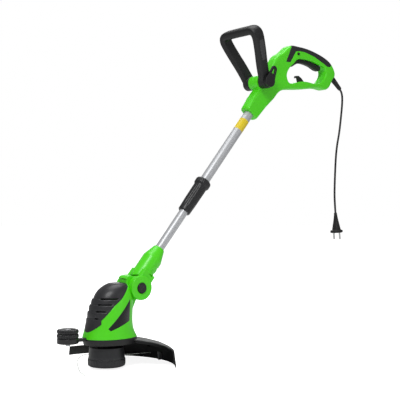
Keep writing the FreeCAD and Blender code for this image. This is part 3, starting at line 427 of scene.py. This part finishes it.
def front_handle_mesh():
    path = [(-y, z) for y, z in HALF_LOOP] + [(0, 141.2)] + list(reversed(HALF_LOOP))
    spine = smooth_path(path, 8)
    rings = []
    for i, spot in enumerate(spine):
        ahead = (spine[min(i + 1, len(spine) - 1)] - spine[max(i - 1, 0)]).normalized()
        across = Vector((-ahead.y, ahead.x))
        top = max(0.0, min(1.0, (spot.y - 114) / 20))
        wide = 9.9 + 1.0 * top
        deep = 16.6 + 1.0 * max(0.0, 1 - spot.y / 26)
        ring = []
        for k in range(40):
            angle = math.tau * k / 40
            ca, sa = math.cos(angle), math.sin(angle)
            bulge = (abs(ca) ** 3.4 + abs(sa) ** 3.4) ** (-1 / 3.4)
            flat = spot + across * (wide * bulge * ca)
            ring.append((deep * bulge * sa, flat.x, flat.y))
        rings.append(ring)
    loop = grid_mesh("loop", rings, BOW_FRAME)
    hubs = []
    for side in (-1, 1):
        turn = BOW_FRAME @ Matrix.Rotation(-side * math.pi / 2, 4, "X")
        profile = [(4.3, 19.5), (16.8, 19.5), (17.8, 20.7), (17.8, 39.1), (16.6, 40.5), (10, 40.5),
                   (10, 39.8), (4.3, 39.8)]
        hubs.append(lathe("hub", profile, turn, 72, 0.6, ring=True))
    return remeshed("front_handle_skin", [loop] + hubs, 0.9, 8, 0.5)


new_piece("front_handle_skin", front_handle_mesh(), "front_handle", BLACK, "front_handle")


PAD_SINK = 1.6


def pad_mesh(side):
    """A raised pad with cross ribs on the outer face of one leg."""
    spine = smooth_path([(y * side, z) for y, z in HALF_LOOP[3:7]], 24)
    rows = []
    count = 17
    for i, spot in enumerate(spine):
        ahead = (spine[min(i + 1, len(spine) - 1)] - spine[max(i - 1, 0)]).normalized()
        across = Vector((ahead.y, -ahead.x)) * side
        share = i / (len(spine) - 1)
        taper = math.sin(math.pi * min(1, max(0, share))) ** 0.35
        rib = 0.55 * (1 + math.cos(share * math.tau * 9)) / 2
        row = []
        for k in range(count):
            t = 2 * k / (count - 1) - 1
            lift = (9.7 + (0.5 + rib) * taper * (1 - abs(t) ** 6)) - 0.9 * abs(t) ** 3.2 - (1 - taper) * 0.8
            flat = spot + across * lift
            row.append((9.6 * t * (0.55 + 0.45 * taper), flat.x, flat.y))
        back = [(x, Vector((y, z)) - across * PAD_SINK) for x, y, z in reversed(row)]
        row += [(x, spot.x, spot.y) for x, spot in back]
        rows.append(row)
    return grid_mesh("pad", rows, BOW_FRAME)


for side, word in ((-1, "near"), (1, "far")):
    new_piece("grip_pad_" + word, pad_mesh(side), "front_handle", PAD, slot="black_plastic")
soften("clamp_knob", "clamp_knob", 0.6, 5, 0.6)


# ---------------------------------------------------------------- shaft

def tube_piece(name, inner, outer, low, high, body):
    points = [(inner, low), (outer, low), (outer, high), (inner, high)]
    new_piece(name + "_drawn", lathe(name, points, SHAFT_FRAME, 96, 0.3, ring=True), body, ALLOY, name)


tube_piece("upper_tube", 11.3, 12.5, 257, 662, "handle")
tube_piece("lower_tube", 9.8, 11.0, 54, 483, "lower_shaft")


def sleeve_wobble(r, z, angle):
    """Lengthwise grip flutes between the sleeve's ends, and a notched collar."""
    if r < 15.2:
        return r
    if 243 < z < 312:
        ease = min(1, (z - 243) / 10, (312 - z) / 8)
        return r - 0.75 * ease * (0.5 + 0.5 * math.cos(angle * 14)) ** 3
    if z > 318:
        return r - 0.6 * (0.5 + 0.5 * math.cos(angle * 20)) ** 4
    return r


sleeve_points = [(11.4, 233), (14.5, 233), (16, 235)]
sleeve_points += [(16 + 0.9 * k / 8, 238 + 3.2 * k) for k in range(9)]
sleeve_points += [(16.95 + 0.5 * k / 12, 266 + 4 * k) for k in range(12)]
sleeve_points += [(17.5, 315), (18.6, 317), (20.4, 320), (20.5, 322), (20.5, 326), (20.5, 330),
                  (19.0, 333), (12.6, 333)]
sleeve_points += [(12.6, 257.2), (14.7, 257), (14.7, 239), (11.4, 239)]
new_piece("sleeve", lathe("sleeve", sleeve_points, SHAFT_FRAME, 168, 0.8, sleeve_wobble, ring=True),
          "lock_sleeve",
          SHAFT_BLACK, "lock_sleeve")
for half in ("socket_left", "socket_right"):
    soften(half, "lower_shaft", 0.8, 6, 0.5)

button_turn = SHAFT_FRAME @ Matrix.Rotation(math.pi / 2, 4, "X")
button_points = [(0.01, 37.0), (6.0, 37.1), (8.4, 37.4), (9.2, 36.6), (10.2, 37.4), (11.4, 37.2),
                 (12.3, 35.6), (12.3, 31.2), (0.01, 31.2)]
new_piece("tilt_button_cap", lathe("tilt_button_cap", button_points, button_turn, 72, 0.7), "tilt_button",
          WHEEL_BLACK,
          "tilt_button")


# ---------------------------------------------------------------- cutting head

for half in ("motor_housing_left", "motor_housing_right"):
    soften(half, "head", 0.9, 8, 0.5)

COVER_EDGE = [(46, 200), (42, 183), (18, 158), (-5, 141), (-34, 109), (-34, 101), (-74, 63), (-100, 58)]
LEDGES = [174, 156, 143, 128, 112]
LEDGE_DEPTH = 2.2


def edge_distance(x, z):
    """How far a point is from the cover's seam, in side view."""
    best = 1000.0
    for (ax, az), (bx, bz) in zip(COVER_EDGE, COVER_EDGE[1:]):
        ex, ez = bx - ax, bz - az
        t = max(0.0, min(1.0, ((x - ax) * ex + (z - az) * ez) / (ex * ex + ez * ez)))
        best = min(best, math.hypot(x - ax - t * ex, z - az - t * ez))
    return best


def ledge_sink(x, y, z):
    """How deep the cover's stepped louvres sink at a point in the head frame."""
    height = z + 0.12 * abs(y) - 0.06 * x - 4
    for high, low in zip(LEDGES, LEDGES[1:]):
        if low < height <= high:
            drop = LEDGE_DEPTH * ((high - height) / (high - low)) ** 1.4
            return drop * max(0.0, min(1.0, (edge_distance(x, z) - 3) / 6))
    return 0.0


def louvred_cover():
    mesh = remeshed("cover_louvred", [nodes["motor_cover"].data], 0.7, 5)
    for vertex in mesh.vertices:
        x, y, z = (vertex.co - HEAD) / MM
        out = Vector((x - 12, y, 0))
        if out.length > 1:
            vertex.co -= out.normalized() * ledge_sink(x, y, z) * MM
    return mesh


new_piece("cover_louvred", louvred_cover(), "head", COVER, "motor_cover")
soften("guard", "head", 0.8, 5, 0.5)
soften("wheel_carrier", "head", 0.7, 5, 0.6)


def cap_wobble(r, z, angle):
    """Shallow grip flutes on the cap's side."""
    if r > 42 and 3 < z < 16.5:
        return r - 0.55 * (0.5 + 0.5 * math.cos(angle * 36)) ** 3
    return r


cap_points = [(16.4, 0.0), (39.5, 0.0), (43, 2), (43.9, 6), (43.95, 9), (43.95, 12), (43.95, 15),
              (43.4, 18), (41.8, 18), (41.8, 5), (39, 2.2), (16.4, 2.2)]
new_piece("spool_cap_ribbed", lathe("spool_cap_ribbed", cap_points, HEAD_FRAME, 288, 0.7, cap_wobble,
                                    ring=True),
          "rotor", SPOOL, "spool_cap")
bump_points = [(0.01, -4.2), (6, -4.4), (8, -5), (12.6, -5), (15.2, -3.2), (15.95, -1), (15.95, 2.5),
               (18.4, 2.6), (18.4, 4.1), (0.01, 4.1)]
new_piece("bump_knob", lathe("bump_knob", bump_points, HEAD_FRAME, 96, 0.7), "bump", BLACK, "bump_button")


def tread_wobble(r, z, angle):
    """Blocks of tread in two rows with a groove between them."""
    if r < 20:
        return r
    phase = 0 if z > 83.5 else math.pi
    tooth = math.cos(angle * 26 + phase)
    return r - 1.5 * max(0.0, min(1.0, 0.5 - 1.8 * tooth))


wheel_points = [(4.1, 74), (13, 74), (14, 75), (19, 75), (20, 74), (23.5, 74), (24.8, 75.6), (24.95, 78),
                (24.95, 80.5), (23.6, 82.2), (22.4, 83.4), (23.6, 84.6), (24.8, 86.4), (24.8, 88.6),
                (24.4, 90.8), (22.4, 93),
                (18, 93),
                (17, 91.6), (14.5, 91.4), (13, 91), (4.1, 91)]
new_piece("wheel_tread", lathe("wheel_tread", wheel_points, WHEEL_FRAME, 312, 0.5, tread_wobble, ring=True),
          "wheel",
          WHEEL_BLACK, "guide_wheel")


# ---------------------------------------------------------------- cutting lines

LINE_ENDS = [
    [(32.8, -8.8, 23), (38.6, -10.36, 23), (44.9, -12.05, 23), (62, -15, 22.4), (92, -8, 20), (128, 3, 17)],
    [(-16.6, 29.7, 23), (-19.5, 34.9, 23), (-22.7, 40.6, 23), (-34, 49, 21), (-57, 33, 16), (-76, 4, 12),
     (-101, -49, 6.2), (-112, -89, 3.5)],
]
for index, points in enumerate(LINE_ENDS):
    spine = smooth_path(points, 10)
    rings = []
    for i, spot in enumerate(spine):
        ahead = (spine[min(i + 1, len(spine) - 1)] - spine[max(i - 1, 0)]).normalized()
        side = ahead.cross(Vector((0, 0, 1))).normalized()
        up = side.cross(ahead)
        rings.append([spot + side * (0.8 * math.cos(math.tau * k / 14)) + up * (0.8 * math.sin(math.tau * k / 14))
                      for k in range(14)])
    replaced = ["cutting_lines"] if index == 0 else []
    new_piece("line_end_%d" % index, grid_mesh("line_end_%d" % index, rings, HEAD_FRAME), "rotor", NYLON,
              *replaced,
              slot="line_nylon")


# ---------------------------------------------------------------- floor

FLOOR_GAP = 0.0004
FLOOR_RADIUS = 14
FLOOR_GLOW = 0.88

floor_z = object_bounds()[0][2] - FLOOR_GAP
work = bmesh.new()
bmesh.ops.create_circle(work, cap_ends=True, segments=96, radius=FLOOR_RADIUS)
mesh = bpy.data.meshes.new("floor")
work.to_mesh(mesh)
work.free()
floor = bpy.data.objects.new("floor", mesh)
floor.location = (-0.3, 0, floor_z)
scene.collection.objects.link(floor)
floor_finish = surface("pale_floor", (0.93, 0.93, 0.93), 0.7, grain=0.002, depth=0.02, mottle=0.01,
                       mottle_size=0.4)
floor_shader = floor_finish.node_tree.nodes["Principled BSDF"]
floor_shader.inputs["Emission Color"].default_value = (1, 1, 1, 1)
# The floor glows for the camera only and gives off no light of its own.
floor_ray = floor_finish.node_tree.nodes.new("ShaderNodeLightPath")
floor_glow = floor_finish.node_tree.nodes.new("ShaderNodeMath")
floor_glow.operation = "MULTIPLY"
floor_glow.inputs[1].default_value = FLOOR_GLOW
floor_finish.node_tree.links.new(floor_ray.outputs["Is Camera Ray"], floor_glow.inputs[0])
floor_finish.node_tree.links.new(floor_glow.outputs["Value"], floor_shader.inputs["Emission Strength"])
floor_shader.inputs["Specular IOR Level"].default_value = 0.1
floor.data.materials.append(floor_finish)
